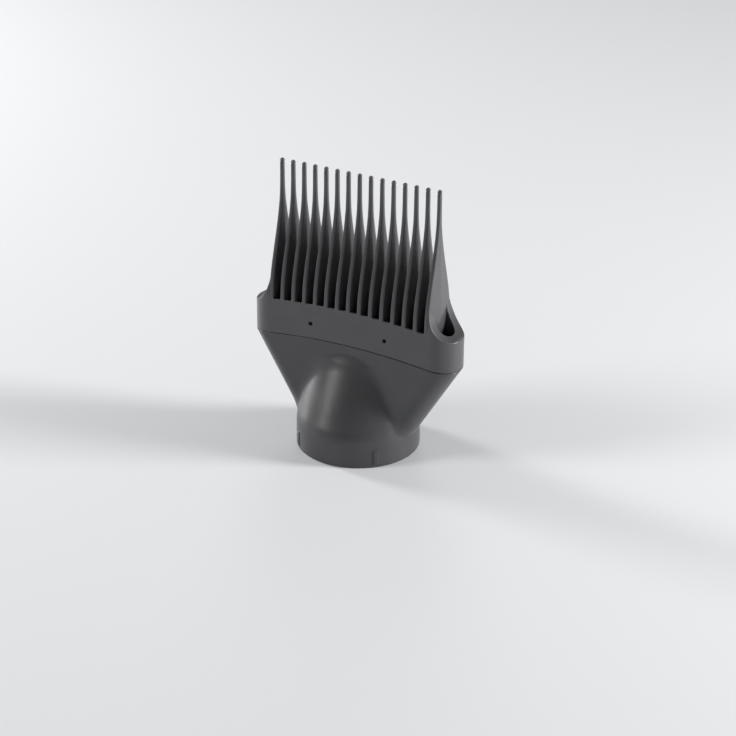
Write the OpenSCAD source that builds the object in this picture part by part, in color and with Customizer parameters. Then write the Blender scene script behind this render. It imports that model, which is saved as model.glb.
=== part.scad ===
// Pick comb attachment for a hair dryer, in millimetres.
// The origin is the middle of the collar's bottom edge, +Z points up along the collar's axis,
// X runs along the row of teeth and the front faces -Y.
// Two mouldings: the nozzle body, from the collar up to the seam, and the comb head above it,
// whose skirt snaps over a spigot on the body.

/* [Collar] */
// Bore that slips over the dryer's barrel
collar_bore_d = 45.6; // [40:0.2:52]
// Wall of the collar
collar_wall = 2.2; // [1.6:0.1:3]
// Height of the plain round collar
collar_h = 9; // [7:0.5:12]
// Depth of the bore up to its shoulder, past the plain collar's height
bore_past_collar = 1; // [0.5:0.25:2]
// Width of the shoulder that stops the barrel
shoulder_w = 0.8; // [0.5:0.1:1.2]
// Width of each raised alignment mark round the collar
mark_w = 2.2; // [1.5:0.1:3]
// Height of each raised mark
mark_h = 6.2; // [4:0.1:6.5]
// How far a mark stands out of the collar
mark_rise = 0.35; // [0.2:0.05:0.6]

/* [Nozzle body] */
// Height of the seam at the middle of the part
seam_z = 46.1; // [42:0.5:60]
// Depth of the flat faces, front to back
slab_depth = 19.4; // [16:0.2:24]
// Wall of the flared duct
body_wall = 2.2; // [1.6:0.1:2.8]
// How far below the seam the round hump runs out into the flat faces
hump_drop = 4.6; // [3:0.2:8]
// Height over which the hump bends from upright to leaning
hump_bend = 6; // [3:0.5:9]
// Width of the hollow blend between the hump and the flat faces
blend = 3.2; // [1.5:0.1:4.5]

/* [Seam] */
// Radius of the arch that the seam and the foot of the teeth follow
arch_r = 286; // [220:2:500]
// Width of the seam groove
seam_gap = 0.25; // [0.1:0.05:0.5]
// Height of the spigot that holds the comb head
spigot_h = 8.5; // [7:0.25:9]
// Wall of the spigot at the front and the back
spigot_wall = 1.4; // [1.2:0.1:1.8]
// Clearance between spigot and skirt, on each side
fit_gap = 0.15; // [0.1:0.05:0.3]
// Diameter of the snap holes through the skirt
snap_hole_d = 1.7; // [1.2:0.1:2.2]
// Distance of the snap holes from the middle
snap_x = 16.6; // [10:0.2:24]
// Height of the snap holes above the seam
snap_rise = 6.4; // [5:0.1:6.6]

/* [Comb head] */
// Height of the smooth band at the middle, from the seam to the foot of the teeth
head_h = 14.8; // [13:0.2:20]
// Height of the band at its two ends
end_h = 13; // [11.5:0.1:13.8]
// Wall of the skirt round the spigot
skirt_wall = 1.7; // [1.4:0.1:2]
// Wall round the outlet slot
outlet_wall = 3.9; // [3.5:0.1:4.4]
// Height of the concave sweep from the last tooth down to the rim
sweep_h = 14; // [9:0.5:18]
// Width of the flat land on the wall between two teeth
land_w = 0.8; // [0.5:0.1:1.5]
// Depth of the bevel from that land down into the slot
bevel_h = 3; // [1:0.25:4]

/* [Teeth] */
// Number of teeth
teeth = 15; // [7:1:19]
// Distance between the middles of two teeth
pitch = 4.95; // [4:0.05:7]
// Length of the middle tooth above its foot
tooth_len = 55; // [35:1:75]
// Thickness of a tooth at its foot
root_t = 1.7; // [1.3:0.05:2.2]
// Thickness of a tooth just under its tip
tip_t = 1.45; // [1.1:0.05:1.8]
// How much thicker a tooth is along its middle line than at its edges, at its foot
ridge = 1.2; // [0.4:0.1:1.6]
// Depth of a tooth just under its tip, front to back
tip_depth = 1.7; // [1.3:0.1:2.4]
// Diameter of the ball on each tip
ball_d = 1.9; // [1.7:0.05:2.4]
// Share of the tooth's length over which it narrows
taper_share = 0.9; // [0.7:0.05:0.95]
// Fullness of the narrowing curve, where a higher number makes a slimmer tooth
taper_power = 2.4; // [1.8:0.1:3.5]
// Distance from the middle of the last tooth to the start of the round end
end_gap = 1.25; // [1:0.05:3]

/* [Hidden] */
$fn = 96;

// A hair's breadth that keeps faces which should merge from lying in one plane
sunk = 0.02;
// Length by which a cutter runs past what it cuts
past = 1;

collar_r = collar_bore_d / 2 + collar_wall;
bore_depth = collar_h + bore_past_collar;
collar_edge_r = 0.5;
mark_z = 1.3;
half_d = slab_depth / 2;
row_half = (teeth - 1) * pitch / 2;
slab_half_w = row_half + end_gap + half_d;

// Height of the arch over x, lifted by a distance along its radius
function arch_z(x, lift = 0) = seam_z - arch_r + sqrt(pow(arch_r + lift, 2) - x * x);

end_z = arch_z(slab_half_w);
flare = (slab_half_w - collar_r) / (end_z - collar_h);
lean = (collar_r - half_d) / (seam_z - hump_drop - collar_h - hump_bend / 2);

// Half width of the flared body at a height
function body_half_w(z) = min(slab_half_w, collar_r + (z - collar_h) * flare);

// How far the hump has leaned in at a height: upright, a short bend, then straight
function lean_in(z) =
    let(s = z - collar_h)
    s <= 0 ? 0 : lean * (s < hump_bend ? s * s / (2 * hump_bend) : s - hump_bend / 2);

// Distance from the axis to a slot shape with round ends, at an angle from its long side's direction
function slab_reach(a, half_w, half_depth) =
    let(flat = half_w - half_depth)
    half_depth * cos(a) <= flat * sin(a)
        ? half_depth / sin(a)
        : flat * cos(a) + sqrt(pow(half_depth, 2) - pow(flat * sin(a), 2));

// Distance from the axis to the lens shape where the two leaning humps meet
function hump_reach(a, r, shift) = -shift * sin(a) + sqrt(r * r - pow(shift * cos(a), 2));

// The larger of two distances, with a hollow blend where they are close
function blend_max(p, q, k) = max(p, q) + pow(max(k - abs(p - q), 0), 2) / (4 * k);

// The blend's width fades out at the collar and just under the seam
blend_fade = 6;
seam_clear = 1;
function blend_at(z) =
    max(0.01, blend * min(1, (z - collar_h) / blend_fade, (end_z - seam_clear - z) / blend_fade + 0.5));

// Angles round a section, closer together where the ends are round
quarter = 14;
ends_closer = 1.5;
function fold(u) = 90 * pow(u, ends_closer);
function ring_angle(i) =
    let(q = floor(i / quarter), u = (i % quarter) / quarter)
    q % 2 == 0 ? 90 * q + fold(u) : 90 * (q + 1) - fold(1 - u);
function first_quadrant(a) = let(b = a % 180) b > 90 ? 180 - b : b;

// One level of the body or of its duct: a round hump blended with a flat slab, in which it sinks
sink = 3;
function section(z, r, half_w, half_depth, shift, k) = [
    for (i = [0 : 4 * quarter - 1])
        let(
            a = ring_angle(i),
            f = first_quadrant(a),
            hump = hump_reach(f, r, min(shift, r - half_depth + sink)),
            reach = blend_max(slab_reach(f, half_w, half_depth), hump, k)
        )
        [reach * cos(a), reach * sin(a), z]
];

body_levels = 17;
body_rings = [
    section(collar_h - past, collar_r - sunk, collar_r - sunk, half_d, 0, 0.01),
    for (i = [0 : body_levels])
        let(z = collar_h + (seam_z + past - collar_h) * i / body_levels)
        section(z, collar_r - sunk, body_half_w(z) - sunk, half_d, lean_in(z), blend_at(z))
];

duct_r = collar_bore_d / 2 - shoulder_w;
duct_top_half_d = half_d - skirt_wall - fit_gap - spigot_wall;
duct_top_half_w = slab_half_w - outlet_wall;
duct_side_wall = body_wall * sqrt(1 + flare * flare);

// One level of the duct, which narrows evenly from the bore up to the spigot
function duct_section(z) =
    let(t = min(1, (z - collar_h) / (end_z - collar_h)))
    section(
        z, duct_r, min(duct_top_half_w, body_half_w(z) - duct_side_wall),
        (half_d - body_wall) * (1 - t) + duct_top_half_d * t, lean_in(z), blend_at(z)
    );

duct_levels = 12;
duct_rings = [
    for (i = [0 : duct_levels])
        duct_section(bore_depth - bore_past_collar / 2 + (end_z - collar_h) * i / duct_levels),
    duct_section(seam_z + spigot_h + past)
];

spigot_half_d = half_d - skirt_wall - fit_gap;
spigot_half_w = slab_half_w - skirt_wall - fit_gap;
// The spigot starts inside the body's wall, above where the flare is narrower than the spigot
spigot_root_z = end_z - 0.7 * (skirt_wall + fit_gap) / flare;
spigot_roof_gap = 0.3;
snap_z = arch_z(snap_x, snap_rise);
snap_pip_d = snap_hole_d - 0.4;
snap_pip_h = 0.9;

foot_z = seam_z + head_h;
tip_z = foot_z + tooth_len;
taper_h = tooth_len * taper_share;
tip_half_d = tip_depth / 2;

// Half depth of the teeth at a height: upright at the foot, then a long hollow curve to the tip
function tooth_half_d(z) =
    let(t = max(0, min(1, (z - foot_z) / taper_h)))
    tip_half_d + (half_d - tip_half_d) * pow(1 - t, taper_power) * (1 + taper_power * t);

function tooth_x(i) = (i - (teeth - 1) / 2) * pitch;

// One level of a tooth: narrow rounded edges at the front and back, thickest along the middle
tooth_edge = 0.5;
edge_share = 0.6;
function tooth_section(x, z) =
    let(
        t = max(0, min(1, (z - foot_z) / tooth_len)),
        h = tooth_half_d(z) - sunk,
        b = min(tooth_edge, 0.4 * h),
        face = (root_t * (1 - t) + tip_t * t) / 2,
        middle = face + ridge / 2 * h / half_d,
        edge = face * edge_share,
        right = [[edge, -h], [face, b - h], [middle, 0], [face, h - b], [edge, h]]
    )
    [
        for (p = right) [x + p[0], p[1], z],
        for (i = [4 : -1 : 0]) [x - right[i][0], right[i][1], z]
    ];

tooth_levels = 12;
function tooth_rings(x) = [
    tooth_section(x, arch_z(x, spigot_h + past)),
    for (j = [0 : tooth_levels]) tooth_section(x, foot_z + taper_h * j / tooth_levels),
    tooth_section(x, tip_z - ball_d / 2)
];

// Side view of the sweep from the last tooth's outer face down to the rim of the round end
rim_z = end_z + end_h;
last_face = row_half + root_t / 2;
sweep_x = slab_half_w + 0.4;
sweep_steps = 12;
sweep_curve = [
    for (i = [0 : sweep_steps])
        let(a = 90 * i / sweep_steps)
        [sweep_x - (sweep_x - last_face) * sin(a), rim_z + sweep_h * (1 - cos(a))]
];

// Closed skin through rings of points that run anticlockwise, seen from above
module loft(rings) {
    n = len(rings[0]);
    last = len(rings) - 1;
    sides = [
        for (k = [0 : last - 1], i = [0 : n - 1])
            let(a = k * n + i, b = k * n + (i + 1) % n)
            each [[a, a + n, b + n], [a, b + n, b]]
    ];
    bottom = [for (i = [0 : n - 1]) i];
    top = [for (i = [n - 1 : -1 : 0]) last * n + i];
    polyhedron([for (r = rings) each r], concat(sides, [bottom, top]));
}

// Upright slot shape with round ends
module stadium(half_w, half_depth, low, high) {
    translate([0, 0, low]) linear_extrude(high - low) union() {
        square([2 * (half_w - half_depth), 2 * half_depth], center = true);
        for (s = [-1, 1]) translate([s * (half_w - half_depth), 0]) circle(half_depth);
    }
}

// Everything below the seam's arch, lifted by a distance
module under_arch(lift) {
    translate([0, 0, seam_z - arch_r]) rotate([90, 0, 0])
        cylinder(r = arch_r + lift, h = 4 * slab_depth, center = true, $fn = 720);
}

// Places what follows at each of the four snap holes, pointing out of the face
module at_snaps() {
    for (sx = [-1, 1], sy = [-1, 1])
        translate([sx * snap_x, 0, snap_z]) rotate([-90 * sy, 0, 0]) children();
}

// Round collar with a softened bottom edge
module collar() {
    rotate_extrude() union() {
        polygon([
            [0, 0],
            [collar_r - collar_edge_r, 0],
            for (a = [15 : 15 : 90])
                [collar_r - collar_edge_r * (1 - sin(a)), collar_edge_r * (1 - cos(a))],
            [collar_r, collar_h],
            [0, collar_h]
        ]);
    }
}

// Raised marks at the four diagonals of the collar
module collar_marks() {
    for (a = [45 : 90 : 315]) rotate(a) intersection() {
        cylinder(r = collar_r + mark_rise, h = collar_h);
        translate([collar_r - past, -mark_w / 2, mark_z]) cube([2 * past, mark_w, mark_h]);
    }
}

// Upright tongue that the comb head's skirt slips over, with its snap pips
module spigot() {
    intersection() {
        stadium(spigot_half_w, spigot_half_d, spigot_root_z, seam_z + spigot_h + past);
        under_arch(spigot_h);
    }
    at_snaps() translate([0, 0, spigot_half_d - spigot_wall / 2])
        cylinder(d1 = snap_pip_d, d2 = snap_pip_d - 0.3, h = spigot_wall / 2 + snap_pip_h, $fn = 32);
}

// Collar, hump and flared duct up to the seam, in one moulding
module nozzle_body() {
    color("#2b2c2e") difference() {
        union() {
            collar();
            collar_marks();
            intersection() {
                loft(body_rings);
                under_arch(-seam_gap / 2);
            }
            spigot();
        }
        translate([0, 0, -past]) cylinder(d = collar_bore_d, h = bore_depth + past);
        loft(duct_rings);
    }
}

// Outer form of one end of the band: it sweeps down from the last tooth to the rim
module band_end() {
    outline = concat(
        [[row_half, end_z - past], [slab_half_w + 2 * past, end_z - past], [slab_half_w + 2 * past, rim_z]],
        sweep_curve,
        [[row_half, rim_z + sweep_h]]
    );
    rotate([90, 0, 0]) linear_extrude(4 * half_d, center = true) polygon(outline);
}

// Side view of the teeth, which also trims the band's ends
module tooth_side_trim() {
    top = rim_z + sweep_h + past;
    curve = [
        for (j = [0 : tooth_levels])
            let(z = foot_z + (top - foot_z) * j / tooth_levels)
            [tooth_half_d(z), z]
    ];
    rotate([90, 0, 90]) linear_extrude(4 * slab_half_w, center = true) polygon(concat(
        [[half_d + past, end_z - 2 * past], [half_d + past, foot_z]],
        curve,
        [for (i = [tooth_levels : -1 : 0]) [-curve[i][0], curve[i][1]]],
        [[-half_d - past, foot_z], [-half_d - past, end_z - 2 * past]]
    ));
}

// Bevel on the inner edges of the long walls, swept along the arch between the outer teeth
module wall_bevel() {
    r = arch_r + head_h;
    slot = half_d - outlet_wall - sunk;
    intersection() {
        translate([0, 0, seam_z - arch_r]) rotate([90, 0, 0]) rotate_extrude($fn = 720) polygon([
            [r + past, land_w - half_d],
            [r, land_w - half_d],
            [r - bevel_h, -slot],
            [r - bevel_h, slot],
            [r, half_d - land_w],
            [r + past, half_d - land_w]
        ]);
        translate([-row_half, -half_d, end_z]) cube([2 * row_half, slab_depth, tooth_len]);
    }
}

// Band of the comb head with its skirt, snap holes and outlet slot
module band() {
    difference() {
        intersection() {
            stadium(slab_half_w, half_d, end_z - past / 2, rim_z + sweep_h + past / 2);
            union() {
                intersection() {
                    under_arch(head_h);
                    translate([-row_half, -2 * half_d, 0]) cube([2 * row_half, 4 * half_d, foot_z + past]);
                }
                for (s = [0, 1]) mirror([s, 0, 0]) band_end();
            }
            tooth_side_trim();
        }
        under_arch(seam_gap / 2);
        intersection() {
            stadium(slab_half_w - skirt_wall, half_d - skirt_wall, end_z - past, foot_z);
            under_arch(spigot_h + spigot_roof_gap);
        }
        stadium(slab_half_w - outlet_wall, half_d - outlet_wall, end_z, tip_z);
        wall_bevel();
        at_snaps() translate([0, 0, half_d - skirt_wall - past])
            cylinder(d = snap_hole_d, h = skirt_wall + 2 * past, $fn = 32);
    }
}

// One tooth, from inside the outlet slot up to its ball tip
module tooth(x) {
    loft(tooth_rings(x));
    translate([x, 0, tip_z - ball_d / 2]) sphere(d = ball_d, $fn = 24);
}

// Band and teeth, in one moulding
module comb_head() {
    color("#323335") union() {
        band();
        for (i = [0 : teeth - 1]) tooth(tooth_x(i));
    }
}

nozzle_body();
comb_head();
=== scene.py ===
"""Builds the looks of a hair dryer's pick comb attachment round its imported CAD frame.

Sizes are in millimetres inside the classes and become metres when a mesh is made. The row frame is
the CAD's: the collar's axis is +Z, the row of teeth runs along X and the front faces -Y.
"""

import logging
import math
from dataclasses import dataclass, field
from enum import Enum

import bmesh
import bpy
import numpy as np
from mathutils import Matrix, Vector

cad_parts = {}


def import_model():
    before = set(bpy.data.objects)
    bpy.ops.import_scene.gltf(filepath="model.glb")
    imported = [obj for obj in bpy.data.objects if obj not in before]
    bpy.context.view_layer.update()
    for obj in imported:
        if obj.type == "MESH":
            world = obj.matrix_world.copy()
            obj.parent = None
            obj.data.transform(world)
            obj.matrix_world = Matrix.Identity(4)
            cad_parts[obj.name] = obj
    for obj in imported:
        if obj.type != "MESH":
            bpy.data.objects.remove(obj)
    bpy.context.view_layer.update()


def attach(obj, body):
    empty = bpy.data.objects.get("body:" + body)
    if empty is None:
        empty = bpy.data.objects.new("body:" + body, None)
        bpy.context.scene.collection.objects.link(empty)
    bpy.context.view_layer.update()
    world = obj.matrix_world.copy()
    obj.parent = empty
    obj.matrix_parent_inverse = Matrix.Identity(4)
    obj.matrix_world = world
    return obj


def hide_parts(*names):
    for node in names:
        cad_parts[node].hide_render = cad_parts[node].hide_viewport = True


LOG = logging.getLogger("pick_comb")
MM = 0.001
BODY = "root"


# ------------------------------------------------------------------ colours and nodes


def linear(hex_colour: str) -> tuple[float, float, float, float]:
    """Turns an sRGB hex colour into the linear values a shader takes.

    Args:
        hex_colour: six hex digits, with or without a leading #.

    Returns:
        Red, green, blue and an alpha of one.
    """
    digits = hex_colour.lstrip("#")
    parts = [int(digits[i : i + 2], 16) / 255 for i in (0, 2, 4)]
    return (*(c / 12.92 if c <= 0.04045 else ((c + 0.055) / 1.055) ** 2.4 for c in parts), 1.0)


def add_node(tree: bpy.types.NodeTree, kind: str, inputs: dict | None = None, **settings) -> bpy.types.Node:
    """Adds a node with its settings, its values and its links.

    Args:
        tree: the node tree that gets the node.
        kind: the node's type name.
        inputs: socket name or index to a value, or to an output socket to link from.
        settings: properties of the node itself.

    Returns:
        The new node.
    """
    node = tree.nodes.new(kind)
    for key, value in settings.items():
        setattr(node, key, value)
    for key, value in (inputs or {}).items():
        if isinstance(value, bpy.types.NodeSocket):
            tree.links.new(value, node.inputs[key])
        else:
            node.inputs[key].default_value = value
    return node


class Surface(Enum):
    """How a moulded face was finished in its mould."""

    SATIN = "satin"
    MATT = "matt"


@dataclass(frozen=True)
class MouldedPlastic:
    """Glass-filled nylon, injection moulded against a spark-eroded steel mould.

    The fine erosion gives a satin face: broad soft highlights with a faint grain in them.
    """

    name: str
    colour: str
    surface: Surface = Surface.SATIN
    roughness: float = 0.38
    # The real grain is about 0.2 mm, too fine for the picture, so it is drawn this coarse to show.
    grain_mm: float = 0.8
    grain_height_mm: float = 0.04

    def build(self) -> bpy.types.Material:
        """Makes the material's nodes."""
        material = bpy.data.materials.new(self.name)
        material.use_nodes = True
        tree = material.node_tree
        tree.nodes.clear()
        place = add_node(tree, "ShaderNodeTexCoord")
        grain = add_node(
            tree,
            "ShaderNodeTexNoise",
            {"Vector": place.outputs["Object"], "Scale": 1 / (self.grain_mm * MM), "Detail": 3.0, "Roughness": 0.6},
        )
        flow = add_node(
            tree,
            "ShaderNodeTexNoise",
            {"Vector": place.outputs["Object"], "Scale": 1 / (9 * MM), "Detail": 2.0, "Roughness": 0.5},
        )
        spread = add_node(
            tree,
            "ShaderNodeMapRange",
            {"Value": flow.outputs["Fac"], "From Min": 0.3, "From Max": 0.7, "To Min": self.roughness - 0.03, "To Max": self.roughness + 0.03},
        )
        base = linear(self.colour)
        ramp = add_node(tree, "ShaderNodeValToRGB", {"Fac": flow.outputs["Fac"]})
        ramp.color_ramp.elements[0].position = 0.3
        ramp.color_ramp.elements[0].color = (*(c * 0.94 for c in base[:3]), 1.0)
        ramp.color_ramp.elements[1].position = 0.7
        ramp.color_ramp.elements[1].color = (*(c * 1.06 for c in base[:3]), 1.0)
        bump = add_node(
            tree,
            "ShaderNodeBump",
            {"Height": grain.outputs["Fac"], "Distance": self.grain_height_mm * MM, "Strength": 1.0},
        )
        shader = add_node(
            tree,
            "ShaderNodeBsdfPrincipled",
            {
                "Base Color": ramp.outputs["Color"],
                "Roughness": spread.outputs["Result"],
                "IOR": 1.53,
                "Normal": bump.outputs["Normal"],
            },
        )
        add_node(tree, "ShaderNodeOutputMaterial", {"Surface": shader.outputs["BSDF"]})
        return material


# ------------------------------------------------------------------ shared form


@dataclass(frozen=True)
class Form:
    """Sizes that the sub-assemblies share, in millimetres, as in the CAD source."""

    collar_r: float = 25.0
    bore_r: float = 22.8
    collar_h: float = 9.0
    bore_depth: float = 10.0
    shoulder_w: float = 0.8
    seam_z: float = 46.1
    arch_r: float = 286.0
    half_d: float = 9.7
    body_wall: float = 2.2
    hump_drop: float = 4.6
    hump_bend: float = 6.0
    blend: float = 3.2
    seam_gap: float = 0.25
    spigot_h: float = 8.5
    spigot_wall: float = 1.4
    fit_gap: float = 0.15
    skirt_wall: float = 1.7
    outlet_wall: float = 3.9
    head_h: float = 14.8
    end_h: float = 13.0
    sweep_h: float = 14.0
    teeth: int = 15
    pitch: float = 4.95
    end_gap: float = 1.25
    tooth_len: float = 55.0
    root_t: float = 1.9
    tip_t: float = 1.45
    ridge: float = 1.2
    tip_depth: float = 1.7
    ball_d: float = 1.9
    taper_share: float = 0.9
    taper_power: float = 2.4
    tooth_corner: float = 0.62

    @property
    def row_half(self) -> float:
        """Half the distance between the middles of the outer teeth."""
        return (self.teeth - 1) * self.pitch / 2

    @property
    def half_w(self) -> float:
        """Half the width of the band."""
        return self.row_half + self.end_gap + self.half_d

    @property
    def end_z(self) -> float:
        """Height of the seam at the ends."""
        return float(self.arch(self.half_w))

    @property
    def rim_z(self) -> float:
        """Height of the rim at the ends."""
        return self.end_z + self.end_h

    @property
    def foot_z(self) -> float:
        """Height of the middle tooth's foot."""
        return self.seam_z + self.head_h

    @property
    def tip_z(self) -> float:
        """Height of the tips."""
        return self.foot_z + self.tooth_len

    def arch(self, x: np.ndarray | float, lift: float = 0.0) -> np.ndarray | float:
        """Height of the seam's arch at x, lifted along its radius."""
        return self.seam_z - self.arch_r + np.sqrt((self.arch_r + lift) ** 2 - np.square(x))

    def body_half_w(self, z: np.ndarray) -> np.ndarray:
        """Half width of the flared body at a height."""
        flare = (self.half_w - self.collar_r) / (self.end_z - self.collar_h)
        return np.minimum(self.half_w, self.collar_r + (z - self.collar_h) * flare)

    def lean_in(self, z: np.ndarray) -> np.ndarray:
        """How far the hump has leaned in at a height."""
        lean = (self.collar_r - self.half_d) / (self.seam_z - self.hump_drop - self.collar_h - self.hump_bend / 2)
        s = np.maximum(z - self.collar_h, 0.0)
        return lean * np.where(s < self.hump_bend, s * s / (2 * self.hump_bend), s - self.hump_bend / 2)

    def tooth_half_d(self, z: np.ndarray) -> np.ndarray:
        """Half depth of the teeth at a height: upright at the foot, then a long hollow curve."""
        t = np.clip((z - self.foot_z) / (self.tooth_len * self.taper_share), 0, 1)
        tip = self.tip_depth / 2
        return tip + (self.half_d - tip) * (1 - t) ** self.taper_power * (1 + self.taper_power * t)

    def sweep(self, x: np.ndarray) -> np.ndarray:
        """Height of the concave sweep from the last tooth's face to the rim, at a distance from the middle."""
        start = self.half_w + 0.4
        tuck = 0.12
        face = self.row_half + self.root_t / 2 - tuck
        s = np.clip((start - x) / (start - face), 0, 1)
        return self.rim_z + self.sweep_h * (1 - np.sqrt(1 - s * s))


def slab_reach(angle: np.ndarray, half_w: np.ndarray, half_depth: np.ndarray) -> np.ndarray:
    """Distance from the axis to a slot shape with round ends.

    Args:
        angle: direction from the long side's, in radians, in the first quadrant.
        half_w: half width of the slot shape.
        half_depth: half depth of the slot shape.

    Returns:
        The distance in each direction.
    """
    flat = half_w - half_depth
    c, s = np.cos(angle), np.sin(angle)
    side = half_depth / np.maximum(s, 1e-6)
    end = flat * c + np.sqrt(np.maximum(half_depth**2 - (flat * s) ** 2, 0))
    return np.where(half_depth * c <= flat * s, side, end)


def hump_reach(angle: np.ndarray, radius: float, shift: np.ndarray) -> np.ndarray:
    """Distance from the axis to the lens shape where the two leaning humps meet."""
    c, s = np.cos(angle), np.sin(angle)
    return -shift * s + np.sqrt(radius**2 - (shift * c) ** 2)


def blend_max(a: np.ndarray, b: np.ndarray, width: np.ndarray) -> np.ndarray:
    """The larger of two distances, with a hollow blend where they are close."""
    return np.maximum(a, b) + np.maximum(width - np.abs(a - b), 0) ** 2 / (4 * np.maximum(width, 1e-6))


def section_reach(
    angle: np.ndarray, z: np.ndarray, radius: float, half_w: np.ndarray, half_depth: np.ndarray, shift: np.ndarray, width: np.ndarray
) -> np.ndarray:
    """Distance from the axis to the body's section: a round hump blended with a flat slab."""
    folded = np.arctan2(np.abs(np.sin(angle)), np.abs(np.cos(angle)))
    hump = hump_reach(folded, radius, np.minimum(shift, radius - half_depth + 3.0))
    return blend_max(slab_reach(folded, half_w, half_depth), hump, width)


# ------------------------------------------------------------------ meshes


def mesh_object(name: str, points: np.ndarray, faces: list, material: bpy.types.Material) -> bpy.types.Object:
    """Makes a smooth mesh object from points in millimetres.

    Args:
        name: the piece's name.
        points: one row per vertex.
        faces: vertex indices of each face.
        material: the finish of the whole piece.

    Returns:
        The new object, linked to the scene.
    """
    mesh = bpy.data.meshes.new(name)
    mesh.from_pydata((np.asarray(points) * MM).tolist(), [], faces)
    mesh.materials.append(material)
    mesh.shade_smooth()
    mesh.validate()
    piece = bpy.data.objects.new(name, mesh)
    bpy.context.scene.collection.objects.link(piece)
    return piece


def ring_faces(rings: int, count: int, closed: bool = False) -> list[tuple[int, ...]]:
    """Faces of a loft through rings that run anticlockwise seen from above, outer side first.

    Args:
        rings: number of rings.
        count: points in a ring.
        closed: whether the last ring joins the first.

    Returns:
        Four-sided faces, outward for rings that go up the outside.
    """
    made = []
    for j in range(rings if closed else rings - 1):
        k = (j + 1) % rings
        for i in range(count):
            n = (i + 1) % count
            made.append((j * count + i, j * count + n, k * count + n, k * count + i))
    return made


def recalculate(piece: bpy.types.Object) -> None:
    """Turns every face of a closed piece outwards."""
    work = bmesh.new()
    work.from_mesh(piece.data)
    bmesh.ops.recalc_face_normals(work, faces=work.faces)
    if work.calc_volume(signed=True) < 0:
        bmesh.ops.reverse_faces(work, faces=work.faces)
    work.to_mesh(piece.data)
    work.free()


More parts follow.
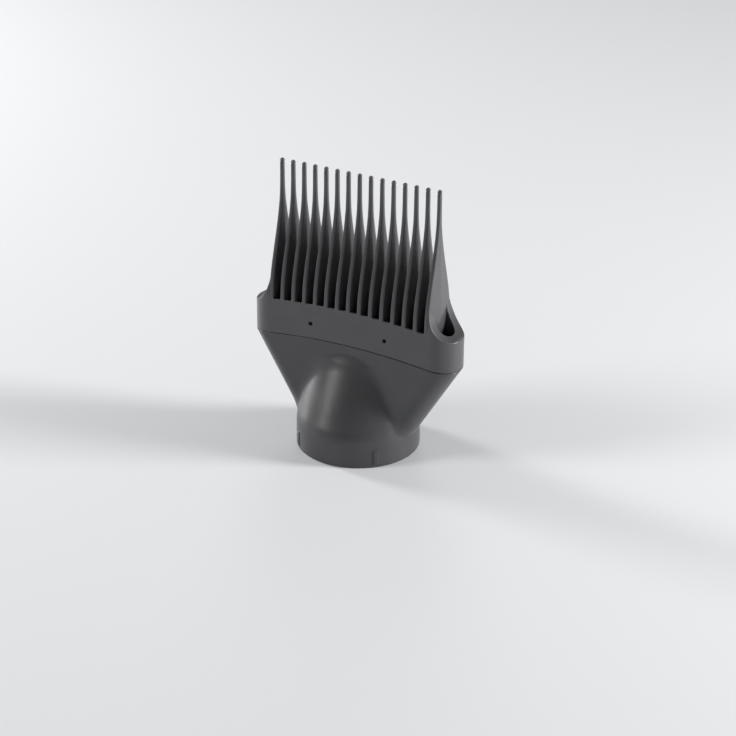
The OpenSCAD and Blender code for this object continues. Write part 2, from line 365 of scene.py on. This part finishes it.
@dataclass
class NozzleBody:
    """The collar, the hump and the flared duct, up to the seam and the spigot above it."""

    form: Form
    finish: MouldedPlastic
    quarter: int = 104
    levels: int = 84
    edge: float = 0.5
    seam_edge: float = 0.2
    mark_w: float = 2.2
    mark_h: float = 6.2
    mark_z: float = 1.3
    mark_rise: float = 0.35

    def angles(self) -> np.ndarray:
        """Directions of a ring's points, denser where the round ends are."""
        u = np.arange(self.quarter) / self.quarter
        fold = 90 * (0.45 * u + 0.55 * u**1.7)
        quarters = [fold, 180 - np.concatenate([[90], fold[:0:-1]]), 180 + fold, 360 - np.concatenate([[90], fold[:0:-1]])]
        return np.radians(np.concatenate([quarters[0], quarters[1], quarters[2], quarters[3]]))

    def blend_at(self, z: np.ndarray) -> np.ndarray:
        """Width of the hollow blend at a height: none on the collar and little at the seam."""
        f = self.form
        rise = np.clip((z - f.collar_h + 0.6) / 6, 0, 1)
        fall = np.clip((f.end_z - 1 - z) / 6 + 0.5, 0, 1)
        return 0.01 + f.blend * rise * rise * (3 - 2 * rise) * fall

    def outside(self, angle: np.ndarray, z: np.ndarray) -> np.ndarray:
        """Distance from the axis to the outer face."""
        f = self.form
        return section_reach(angle, z, f.collar_r, f.body_half_w(z), f.half_d, f.lean_in(z), self.blend_at(z))

    def duct(self, angle: np.ndarray, z: np.ndarray) -> np.ndarray:
        """Distance from the axis to the duct's wall."""
        f = self.form
        t = np.clip((z - f.collar_h) / (f.end_z - f.collar_h), 0, 1)
        flare = (f.half_w - f.collar_r) / (f.end_z - f.collar_h)
        side = f.body_wall * math.sqrt(1 + flare**2)
        top = f.half_d - f.skirt_wall - f.fit_gap - f.spigot_wall
        return section_reach(
            angle,
            z,
            f.bore_r - f.shoulder_w,
            np.minimum(f.half_w - f.outlet_wall, f.body_half_w(z) - side),
            (f.half_d - f.body_wall) * (1 - t) + top * t,
            f.lean_in(z),
            self.blend_at(z),
        )

    def at(self, angle: np.ndarray, reach: np.ndarray | float, z: np.ndarray | float) -> np.ndarray:
        """Points at a distance from the axis."""
        reach = np.broadcast_to(reach, angle.shape)
        return np.stack([reach * np.cos(angle), reach * np.sin(angle), np.broadcast_to(z, angle.shape)], 1)

    def inset(self, ring: np.ndarray, depth: float) -> np.ndarray:
        """A ring of the slot shape moved inwards along its normals."""
        f = self.form
        flat = f.half_w - f.half_d
        core = np.zeros_like(ring)
        core[:, 0] = np.clip(ring[:, 0], -flat, flat)
        out = ring - core
        out[:, 2] = 0
        normal = out / np.linalg.norm(out, axis=1)[:, None]
        moved = ring - normal * depth
        return moved

    def rings(self) -> list[np.ndarray]:
        """The rings of the closed skin, up the outside and down the inside."""
        f = self.form
        a = self.angles()
        rings = []
        for turn in np.radians(np.linspace(0, 90, 7)):
            rings.append(self.at(a, f.collar_r - self.edge * (1 - math.sin(turn)), self.edge * (1 - math.cos(turn))))
        for z in (0.55, 1.2, 3.0, 5.5, 7.5, 8.6):
            rings.append(self.at(a, f.collar_r, z))
        top = np.full(a.shape, f.end_z)
        for _ in range(25):
            top = f.arch(self.outside(a, top) * np.cos(a)) - f.seam_gap / 2 - self.seam_edge
        steps = np.linspace(0, 1, self.levels)
        steps = np.append(steps[:-1] ** 1.15, [0.992, 1.0])
        start = f.collar_h - 0.3
        for t in steps:
            z = start + (top - start) * t
            rings.append(self.at(a, self.outside(a, z), z))
        rim = rings[-1]
        for turn in np.radians(np.linspace(18, 90, 5)):
            ring = self.inset(rim, self.seam_edge * (1 - math.cos(turn)))
            ring[:, 2] = rim[:, 2] + self.seam_edge * math.sin(turn)
            rings.append(ring)
        for depth in (self.seam_edge + 0.05, f.skirt_wall + f.fit_gap):
            ring = self.inset(rim, depth)
            ring[:, 2] = f.arch(ring[:, 0]) - f.seam_gap / 2
            rings.append(ring)
        foot = self.inset(rim, f.skirt_wall + f.fit_gap)
        for lift in (0.1, f.spigot_h - 0.3, f.spigot_h):
            ring = foot.copy()
            ring[:, 2] = f.arch(ring[:, 0], lift)
            rings.append(ring)
        inner = self.inset(rim, f.skirt_wall + f.fit_gap + f.spigot_wall)
        for lift in (f.spigot_h, f.spigot_h - 0.3, 4.0, 1.0):
            ring = inner.copy()
            ring[:, 2] = f.arch(ring[:, 0], lift)
            rings.append(ring)
        for z in np.linspace(f.end_z, f.bore_depth, 40):
            rings.append(self.at(a, self.duct(a, np.full(a.shape, z)), z))
        rings.append(self.at(a, f.bore_r - 0.05, f.bore_depth))
        for z in (f.bore_depth - 0.05, 5.0, 0.5):
            rings.append(self.at(a, f.bore_r, z))
        rings.append(self.at(a, f.bore_r + 0.3, 0.0))
        return rings

    def marks(self) -> tuple[np.ndarray, list]:
        """The four raised marks: pillows with round edges, curved with the collar."""
        f = self.form
        across, along, edge = 15, 31, 0.3
        points, faces = [], []
        u = np.linspace(-1, 1, across)
        v = np.linspace(0, 1, along)
        u = np.sign(u) * (1 - (1 - np.abs(u)) ** 1.6)
        w = 0.5 - 0.5 * np.cos(math.pi * v)
        for centre in (45, 135, 225, 315):
            first = len(points)
            for wz in w:
                z = self.mark_z + self.mark_h * wz
                for uw in u:
                    s = uw * self.mark_w / 2
                    near = min(self.mark_w / 2 - abs(s), z - self.mark_z, self.mark_z + self.mark_h - z)
                    lift = math.sqrt(max(0.0, 1 - (1 - min(1.0, near / edge)) ** 2)) * (self.mark_rise + 0.05) - 0.05
                    turn = math.radians(centre) + s / f.collar_r
                    points.append(((f.collar_r + lift) * math.cos(turn), (f.collar_r + lift) * math.sin(turn), z))
            back = len(points) - first
            for x, y, z in points[first:]:
                sunk = (f.collar_r - 0.3) / math.hypot(x, y)
                points.append((x * sunk, y * sunk, z))
            for j in range(along - 1):
                for i in range(across - 1):
                    k = first + j * across + i
                    patch = (k, k + 1, k + across + 1, k + across)
                    faces += [patch, tuple(v + back for v in reversed(patch))]
            rim = [first + i for i in range(across)]
            rim += [first + j * across + across - 1 for j in range(1, along)]
            rim += [first + (along - 1) * across + i for i in range(across - 2, -1, -1)]
            rim += [first + j * across for j in range(along - 2, 0, -1)]
            faces += [(a, a + back, b + back, b) for a, b in zip(rim, rim[1:] + rim[:1])]
        return np.array(points), faces

    def build(self, material: bpy.types.Material) -> bpy.types.Object:
        """Makes the piece."""
        rings = self.rings()
        count = len(rings[0])
        piece = mesh_object("nozzle_skin", np.concatenate(rings), ring_faces(len(rings), count, closed=True), material)
        recalculate(piece)
        return piece


@dataclass
class BandOutline:
    """The band's slot-shaped outline with samples placed where the teeth's fillets need them."""

    form: Form
    fillet: float = 0.45
    end_steps: int = 44
    x: np.ndarray = field(init=False)
    points: np.ndarray = field(init=False)
    normals: np.ndarray = field(init=False)

    def __post_init__(self) -> None:
        """Lays out the samples."""
        f = self.form
        flat = f.half_w - f.half_d
        side: list[float] = []
        for k in range(f.teeth):
            c = (k - (f.teeth - 1) / 2) * f.pitch
            half = f.root_t / 2
            steps = [half + self.fillet * s for s in (0.0, 0.03, 0.1, 0.22, 0.4, 0.65, 1.0)]
            offs = [0.0, half * 0.5, half - 0.1] + steps
            side += [c + o for o in offs] + [c - o for o in offs if o > 0]
            if k < f.teeth - 1:
                side.append(c + f.pitch / 2)
        side = sorted(x for x in side if abs(x) < flat)
        side = np.array([-flat] + side + [flat])
        turn = np.linspace(-90, 90, self.end_steps + 1)[1:-1]
        turn = np.radians(90 * np.sign(turn) * np.abs(turn / 90) ** 0.85)
        right = np.stack([flat + f.half_d * np.cos(turn), f.half_d * np.sin(turn)], 1)
        back = np.stack([side[::-1], np.full(len(side), f.half_d)], 1)
        left = -right
        front = np.stack([side, np.full(len(side), -f.half_d)], 1)
        self.points = np.concatenate([right, back, left, front])
        core = np.zeros_like(self.points)
        core[:, 0] = np.clip(self.points[:, 0], -flat, flat)
        out = self.points - core
        self.normals = out / np.linalg.norm(out, axis=1)[:, None]
        self.x = self.points[:, 0]

    def ring(self, inset: np.ndarray | float, z: np.ndarray | float) -> np.ndarray:
        """The outline moved inwards, at a height."""
        inset = np.broadcast_to(inset, self.x.shape)
        flat = self.points - self.normals * inset[:, None]
        return np.column_stack([flat, np.broadcast_to(z, self.x.shape)])


@dataclass
class CombBand:
    """The smooth band, with its land between the teeth, its swept ends and the slot inside."""

    form: Form
    outline: BandOutline
    edge: float = 0.22
    land_w: float = 0.8
    bevel_h: float = 3.0
    hole_d: float = 1.7
    hole_x: float = 16.6
    hole_rise: float = 6.4

    def top(self, x: np.ndarray) -> np.ndarray:
        """Height of the band's top at x: the arch with fillets at the teeth, then the sweep."""
        f = self.form
        ax = np.abs(x)
        near = np.abs(ax - np.round(ax / f.pitch) * f.pitch) - f.root_t / 2
        near = np.where(ax > f.row_half, np.inf, near)
        r = self.outline.fillet
        d = np.clip(r - near, 0, r)
        lift = r - np.sqrt(np.maximum(r * r - d * d, 0))
        arch = f.arch(x, f.head_h) + lift
        face = f.row_half + f.root_t / 2
        ramp = np.clip((ax - f.row_half) / (f.root_t / 2 - 0.1), 0, 1)
        last = np.where(ax > f.row_half, f.arch(face, f.head_h) + (f.sweep(np.array(face)) - 1.5 - f.arch(face, f.head_h)) * ramp, arch)
        return np.where(ax >= face - 0.1, f.sweep(ax) - np.where(ax < face, 1.5, 0.0), last)

    def rings(self) -> list[np.ndarray]:
        """The rings of the closed skin, up the outside and down the inside."""
        f, o = self.form, self.outline
        rings = []
        low = f.arch(o.x) + f.seam_gap / 2
        for turn in np.radians(np.linspace(0, 90, 6)):
            rings.append(o.ring(self.edge * (1 - math.sin(turn)), low + self.edge * (1 - math.cos(turn))))
        top = self.top(o.x) - self.edge
        start = low + self.edge + 0.08
        for t in np.concatenate([[0.0], np.linspace(0.1, 0.9, 14), [0.985, 1.0]]):
            z = start + (top - start) * t
            rings.append(self.trim(o.ring(0.0, z)))
        for turn in np.radians(np.linspace(18, 90, 5)):
            depth = self.edge * (1 - math.cos(turn))
            ring = o.ring(depth, 0)
            ring[:, 2] = self.top(ring[:, 0]) - self.edge * (1 - math.sin(turn))
            rings.append(self.trim(ring, depth))
        middle = np.clip((f.row_half + 0.3 - np.abs(o.x)) / 0.6, 0, 1)
        slot = f.outlet_wall
        for share, drop in ((0.07, 0.0), (0.15, 0.0), (0.16, 0.0), (0.4, 0.3), (0.7, 0.65), (0.95, 0.96)):
            width = self.edge + (slot - self.edge) * share
            ring = o.ring(width, 0)
            ring[:, 2] = self.top(ring[:, 0]) - self.bevel_h * drop * middle
            rings.append(self.trim(ring, self.edge))
        for turn in np.radians(np.linspace(0, 90, 4)):
            ring = o.ring(slot - 0.18 * (1 - math.sin(turn)), 0)
            ring[:, 2] = self.top(ring[:, 0]) - self.bevel_h * middle - 0.18 * (1 - math.cos(turn))
            rings.append(self.trim(ring, self.edge))
        roof = f.arch(o.x, f.spigot_h + 0.3)
        last = rings[-1]
        for t in (0.3, 0.7, 1.0):
            ring = o.ring(slot, last[:, 2] + (roof - last[:, 2]) * t)
            rings.append(ring)
        for depth, z in ((f.skirt_wall, roof), (f.skirt_wall, low + 3), (f.skirt_wall, low)):
            rings.append(o.ring(depth, z))
        return rings

    def trim(self, ring: np.ndarray, depth: float = 0.0) -> np.ndarray:
        """Keeps a ring inside the teeth's side view, and under the faces of the last teeth."""
        f = self.form
        z, ax = ring[:, 2], np.abs(ring[:, 0])
        # Towards its top the sheath narrows to where the tooth's own rounded corner starts.
        rise = np.clip((z - f.foot_z) / (f.rim_z + f.sweep_h - f.foot_z), 0, 1)
        limit = f.tooth_half_d(z) - depth - f.tooth_corner * rise**2
        hidden = (ax < f.row_half + f.root_t / 2 - 0.05) & (z > f.arch(ring[:, 0], f.head_h) + 0.5)
        limit = np.where(hidden, limit - 0.2, limit)
        ring[:, 1] = np.clip(ring[:, 1], -limit, limit)
        return ring

    def hole_cutter(self) -> bpy.types.Object:
        """Makes the tool that cuts the four snap holes, flared where it leaves the face."""
        f = self.form
        work = bmesh.new()
        z = float(f.arch(self.hole_x, self.hole_rise))
        r, lip, steps = self.hole_d / 2, 0.18, 48
        profile = [(r, 5.5), (r, f.half_d - lip)]
        profile += [(r + lip * (1 - math.cos(t)), f.half_d - lip * (1 - math.sin(t))) for t in np.radians([22, 45, 68, 88])]
        profile += [(r + lip + 0.3, f.half_d + 0.3)]
        for sx in (-1, 1):
            for sy in (-1, 1):
                loops = []
                for radius, y in profile:
                    loop = []
                    for i in range(steps):
                        a = 2 * math.pi * i / steps
                        loop.append(work.verts.new(((sx * self.hole_x + radius * math.cos(a)) * MM, sy * y * MM, (z + radius * math.sin(a)) * MM)))
                    loops.append(loop)
                for one, two in zip(loops, loops[1:]):
                    for i in range(steps):
                        n = (i + 1) % steps
                        work.faces.new((one[i], one[n], two[n], two[i]))
                work.faces.new(loops[0])
                work.faces.new(loops[-1])
        bmesh.ops.recalc_face_normals(work, faces=work.faces)
        mesh = bpy.data.meshes.new("hole_cutter")
        work.to_mesh(mesh)
        work.free()
        cutter = bpy.data.objects.new("hole_cutter", mesh)
        bpy.context.scene.collection.objects.link(cutter)
        return cutter

    def build(self, material: bpy.types.Material) -> bpy.types.Object:
        """Makes the piece."""
        rings = self.rings()
        count = len(rings[0])
        piece = mesh_object("comb_band", np.concatenate(rings), ring_faces(len(rings), count, closed=True), material)
        recalculate(piece)
        cutter = self.hole_cutter()
        cut = piece.modifiers.new("holes", "BOOLEAN")
        cut.operation = "DIFFERENCE"
        cut.solver = "EXACT"
        cut.object = cutter
        bake(piece)
        bpy.data.objects.remove(cutter)
        return piece


def bake(piece: bpy.types.Object) -> None:
    """Replaces a piece's mesh by its evaluated one and removes the modifiers."""
    graph = bpy.context.evaluated_depsgraph_get()
    mesh = bpy.data.meshes.new_from_object(piece.evaluated_get(graph))
    piece.modifiers.clear()
    old = piece.data
    piece.data = mesh
    bpy.data.meshes.remove(old)


@dataclass
class ToothRow:
    """The row of teeth: one tooth, repeated by a geometry node tree."""

    form: Form
    levels: int = 40
    corner_steps: int = 5
    ball_rings: int = 7

    def half_section(self, z: float) -> np.ndarray:
        """One quarter of the section turned into its whole outline at a height.

        Args:
            z: height in millimetres.

        Returns:
            Outline points, anticlockwise seen from above.
        """
        f = self.form
        t = min(1.0, max(0.0, (z - f.foot_z) / f.tooth_len))
        sunk = float(np.interp(z, [f.foot_z - 0.8, f.foot_z + 0.2], [0.45, 0.0]))
        h = float(f.tooth_half_d(np.array(z))) - sunk
        face = (f.root_t * (1 - t) + f.tip_t * t) / 2
        ridge = f.ridge / 2 * h / f.half_d
        r = min(f.tooth_corner, 0.85 * face, 0.45 * h)
        quarter = []
        for k in range(self.corner_steps + 1):
            a = math.radians(90) * (1 - k / self.corner_steps)
            quarter.append((face - r + r * math.cos(a), h - r + r * math.sin(a)))
        slope = [(face + ridge * s, (h - r) * (1 - s)) for s in (0.25, 0.5, 0.75, 0.93)]
        first = [(x, y) for x, y in quarter] + slope
        top_right = first[::-1]
        peak = (face + ridge * 0.97, 0.0)
        right = [(x, -y) for x, y in top_right[::-1]] + [peak] + top_right
        left = [(-x, -y) for x, y in right]
        return np.array(right + left)

    def profile(self) -> bpy.types.Object:
        """Makes the one tooth that the tree repeats, standing at x = 0."""
        f = self.form
        ball_r = f.ball_d / 2
        base_z = f.foot_z - f.head_h + f.spigot_h + 1.0
        start = f.foot_z + 0.6
        heights = [base_z, f.foot_z - 0.8, f.foot_z - 0.2, f.foot_z + 0.2]
        heights += list(start + (f.tip_z - ball_r - 0.9 - start) * np.linspace(0, 1, self.levels))
        rings = []
        for z in heights:
            outline = self.half_section(z)
            rings.append(np.column_stack([outline, np.full(len(outline), z)]))
        base = rings[-1]
        count = len(base)
        directions = base[:, :2] / np.linalg.norm(base[:, :2], axis=1)[:, None]
        centre = f.tip_z - ball_r
        for a in np.radians(np.linspace(-38, 80, self.ball_rings + 3)):
            flat = directions * ball_r * math.cos(a)
            rings.append(np.column_stack([flat, np.full(count, centre + ball_r * math.sin(a))]))
        points = np.concatenate(rings + [np.array([[0, 0, f.tip_z]])])
        faces = ring_faces(len(rings), count)
        faces.append(tuple(range(count - 1, -1, -1)))
        start = (len(rings) - 1) * count
        faces += [(start + i, start + (i + 1) % count, len(points) - 1) for i in range(count)]
        mesh = bpy.data.meshes.new("tooth")
        mesh.from_pydata((points * MM).tolist(), [], faces)
        mesh.shade_smooth()
        tooth = bpy.data.objects.new("tooth", mesh)
        bpy.context.scene.collection.objects.link(tooth)
        recalculate(tooth)
        return tooth

    def tree(self, material: bpy.types.Material) -> bpy.types.NodeTree:
        """Builds the tree that sets copies of the tooth along a line."""
        tree = bpy.data.node_groups.new("tooth_row", "GeometryNodeTree")
        wanted = {"Tooth": "Object", "Count": "Int", "Pitch": "Float", "Arch Radius": "Float", "Foot Height": "Float"}
        for name, kind in wanted.items():
            tree.interface.new_socket(name, in_out="INPUT", socket_type="NodeSocket" + kind)
        tree.interface.new_socket("Geometry", in_out="OUTPUT", socket_type="NodeSocketGeometry")
        given = add_node(tree, "NodeGroupInput")
        gaps = add_node(tree, "ShaderNodeMath", {0: given.outputs["Count"], 1: 1.0}, operation="SUBTRACT")
        half = add_node(tree, "ShaderNodeMath", {0: gaps.outputs[0], 1: -0.5}, operation="MULTIPLY")
        first = add_node(tree, "ShaderNodeMath", {0: half.outputs[0], 1: given.outputs["Pitch"]}, operation="MULTIPLY")
        start = add_node(tree, "ShaderNodeCombineXYZ", {"X": first.outputs[0]})
        step = add_node(tree, "ShaderNodeCombineXYZ", {"X": given.outputs["Pitch"]})
        line = add_node(
            tree,
            "GeometryNodeMeshLine",
            {"Count": given.outputs["Count"], "Start Location": start.outputs[0], "Offset": step.outputs[0]},
            mode="OFFSET",
        )
        tooth = add_node(tree, "GeometryNodeObjectInfo", {"Object": given.outputs["Tooth"]}, transform_space="ORIGINAL")
        copies = add_node(tree, "GeometryNodeInstanceOnPoints", {"Points": line.outputs["Mesh"], "Instance": tooth.outputs["Geometry"]})
        real = add_node(tree, "GeometryNodeRealizeInstances", {"Geometry": copies.outputs["Instances"]})
        # The feet follow the band's arch: each point near the foot drops by the arch's own fall at its x.
        place = add_node(tree, "GeometryNodeInputPosition")
        parts = add_node(tree, "ShaderNodeSeparateXYZ", {"Vector": place.outputs["Position"]})
        radius = given.outputs["Arch Radius"]
        x_square = add_node(tree, "ShaderNodeMath", {0: parts.outputs["X"], 1: parts.outputs["X"]}, operation="MULTIPLY")
        r_square = add_node(tree, "ShaderNodeMath", {0: radius, 1: radius}, operation="MULTIPLY")
        left = add_node(tree, "ShaderNodeMath", {0: r_square.outputs[0], 1: x_square.outputs[0]}, operation="SUBTRACT")
        rise = add_node(tree, "ShaderNodeMath", {0: left.outputs[0]}, operation="SQRT")
        fall = add_node(tree, "ShaderNodeMath", {0: rise.outputs[0], 1: radius}, operation="SUBTRACT")
        end = add_node(tree, "ShaderNodeMath", {0: given.outputs["Foot Height"], 1: 4 * MM}, operation="ADD")
        share = add_node(
            tree,
            "ShaderNodeMapRange",
            {"Value": parts.outputs["Z"], "From Min": given.outputs["Foot Height"], "From Max": end.outputs[0], "To Min": 1.0, "To Max": 0.0},
        )
        move = add_node(tree, "ShaderNodeMath", {0: fall.outputs[0], 1: share.outputs["Result"]}, operation="MULTIPLY")
        shift = add_node(tree, "ShaderNodeCombineXYZ", {"Z": move.outputs[0]})
        seated = add_node(tree, "GeometryNodeSetPosition", {"Geometry": real.outputs["Geometry"], "Offset": shift.outputs[0]})
        dressed = add_node(tree, "GeometryNodeSetMaterial", {"Geometry": seated.outputs["Geometry"], "Material": material})
        add_node(tree, "NodeGroupOutput", {"Geometry": dressed.outputs["Geometry"]})
        return tree

    def build(self, material: bpy.types.Material) -> bpy.types.Object:
        """Makes the row as one plain mesh."""
        f = self.form
        tooth = self.profile()
        row = bpy.data.objects.new("comb_teeth", bpy.data.meshes.new("comb_teeth"))
        bpy.context.scene.collection.objects.link(row)
        modifier = row.modifiers.new("row", "NODES")
        modifier.node_group = self.tree(material)
        sockets = {s.name: s.identifier for s in modifier.node_group.interface.items_tree if s.in_out == "INPUT"}
        modifier[sockets["Tooth"]] = tooth
        modifier[sockets["Count"]] = f.teeth
        modifier[sockets["Pitch"]] = f.pitch * MM
        modifier[sockets["Arch Radius"]] = (f.arch_r + f.head_h) * MM
        modifier[sockets["Foot Height"]] = (f.foot_z + 0.3) * MM
        bake(row)
        bpy.data.objects.remove(tooth)
        return row


# ------------------------------------------------------------------ studio


@dataclass
class Studio:
    """Floor, backdrop, lamps and camera."""

    lens_mm: float = 118.2
    eye: tuple[float, float, float] = (416.01, -765.37, 457.42)
    forward: tuple[float, float, float] = (-0.4258, 0.7915, -0.4385)
    roll_deg: float = 0.488

    def floor(self) -> bpy.types.Object:
        """Makes the pale floor, one flat square."""
        mesh = bpy.data.meshes.new("floor")
        size = 4.0
        mesh.from_pydata([(-size, -size, 0), (size, -size, 0), (size, size, 0), (-size, size, 0)], [], [(0, 1, 2, 3)])
        piece = bpy.data.objects.new("studio_floor", mesh)
        bpy.context.scene.collection.objects.link(piece)
        material = bpy.data.materials.new("pale_card")
        material.use_nodes = True
        tree = material.node_tree
        tree.nodes.clear()
        shader = add_node(tree, "ShaderNodeBsdfPrincipled", {"Base Color": linear("#d9dadc"), "Roughness": 0.7})
        add_node(tree, "ShaderNodeOutputMaterial", {"Surface": shader.outputs["BSDF"]})
        mesh.materials.append(material)
        return piece

    def lamp(self, name: str, place: tuple, target: tuple, size: tuple, watts: float) -> None:
        """Hangs a softbox.

        Args:
            name: the lamp's name.
            place: where it hangs, in metres.
            target: the point it faces, in metres.
            size: width and height, in metres.
            watts: its power.
        """
        data = bpy.data.lights.new(name, "AREA")
        data.shape = "RECTANGLE"
        data.size, data.size_y = size
        data.energy = watts
        lamp = bpy.data.objects.new(name, data)
        lamp.visible_camera = False
        bpy.context.scene.collection.objects.link(lamp)
        lamp.location = place
        direction = Vector(target) - Vector(place)
        lamp.rotation_euler = direction.to_track_quat("-Z", "Y").to_euler()

    def world(self) -> None:
        """Fills the room with plain soft light."""
        world = bpy.data.worlds.new("room")
        bpy.context.scene.world = world
        world.use_nodes = True
        tree = world.node_tree
        tree.nodes.clear()
        shade = add_node(tree, "ShaderNodeBackground", {"Color": linear("#e2e2e3"), "Strength": 0.34})
        add_node(tree, "ShaderNodeOutputWorld", {"Surface": shade.outputs["Background"]})

    def camera(self) -> bpy.types.Object:
        """Places the camera at the photograph's angle."""
        data = bpy.data.cameras.new("camera")
        data.lens = self.lens_mm
        data.sensor_width = 36.0
        data.clip_start, data.clip_end = 0.05, 50
        camera = bpy.data.objects.new("camera", data)
        bpy.context.scene.collection.objects.link(camera)
        forward = Vector(self.forward).normalized()
        side = forward.cross(Vector((0, 0, 1))).normalized()
        up = side.cross(forward)
        turn = math.radians(self.roll_deg)
        right = side * math.cos(turn) + up * math.sin(turn)
        above = up * math.cos(turn) - side * math.sin(turn)
        rotation = Matrix((right, above, -forward)).transposed().to_4x4()
        camera.matrix_world = Matrix.Translation(Vector(self.eye) * MM) @ rotation
        bpy.context.scene.camera = camera
        return camera

    def build(self) -> None:
        """Sets up the whole studio."""
        self.floor()
        self.world()
        middle = (0, 0, 0.06)
        self.lamp("key_box", (-1.1, -0.95, 0.95), middle, (0.5, 0.8), 12.5)
        self.lamp("right_strip", (0.95, 0.35, 0.3), middle, (0.25, 0.55), 16)
        self.lamp("left_strip", (-1.0, 0.1, 0.28), middle, (0.2, 0.5), 9)
        self.lamp("back_box", (-0.6, 1.2, 0.8), middle, (0.5, 0.9), 3)
        self.camera()
        bpy.context.scene.view_settings.view_transform = "Standard"


def main() -> None:
    """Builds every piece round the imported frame."""
    logging.basicConfig(level=logging.INFO, format="%(message)s")
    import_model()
    form = Form()
    body_plastic = MouldedPlastic("satin_nylon_body", "#3c3c3e", roughness=0.33)
    comb_plastic = MouldedPlastic("satin_nylon_comb", "#444446", roughness=0.31)
    body_material, comb_material = body_plastic.build(), comb_plastic.build()

    body = NozzleBody(form, body_plastic)
    skin = body.build(body_material)
    points, faces = body.marks()
    marks = mesh_object("collar_marks", points, faces, body_material)
    recalculate(marks)
    band = CombBand(form, BandOutline(form)).build(comb_material)
    teeth = ToothRow(form).build(comb_material)
    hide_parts("nozzle_body")
    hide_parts("comb_head")
    for piece, slot in ((skin, "body_plastic"), (marks, "body_plastic"), (band, "comb_plastic"), (teeth, "comb_plastic")):
        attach(piece, BODY)
        LOG.info("%s: %d faces", piece.name, len(piece.data.polygons))

    Studio().build()


if __name__ == "__main__":
    main()
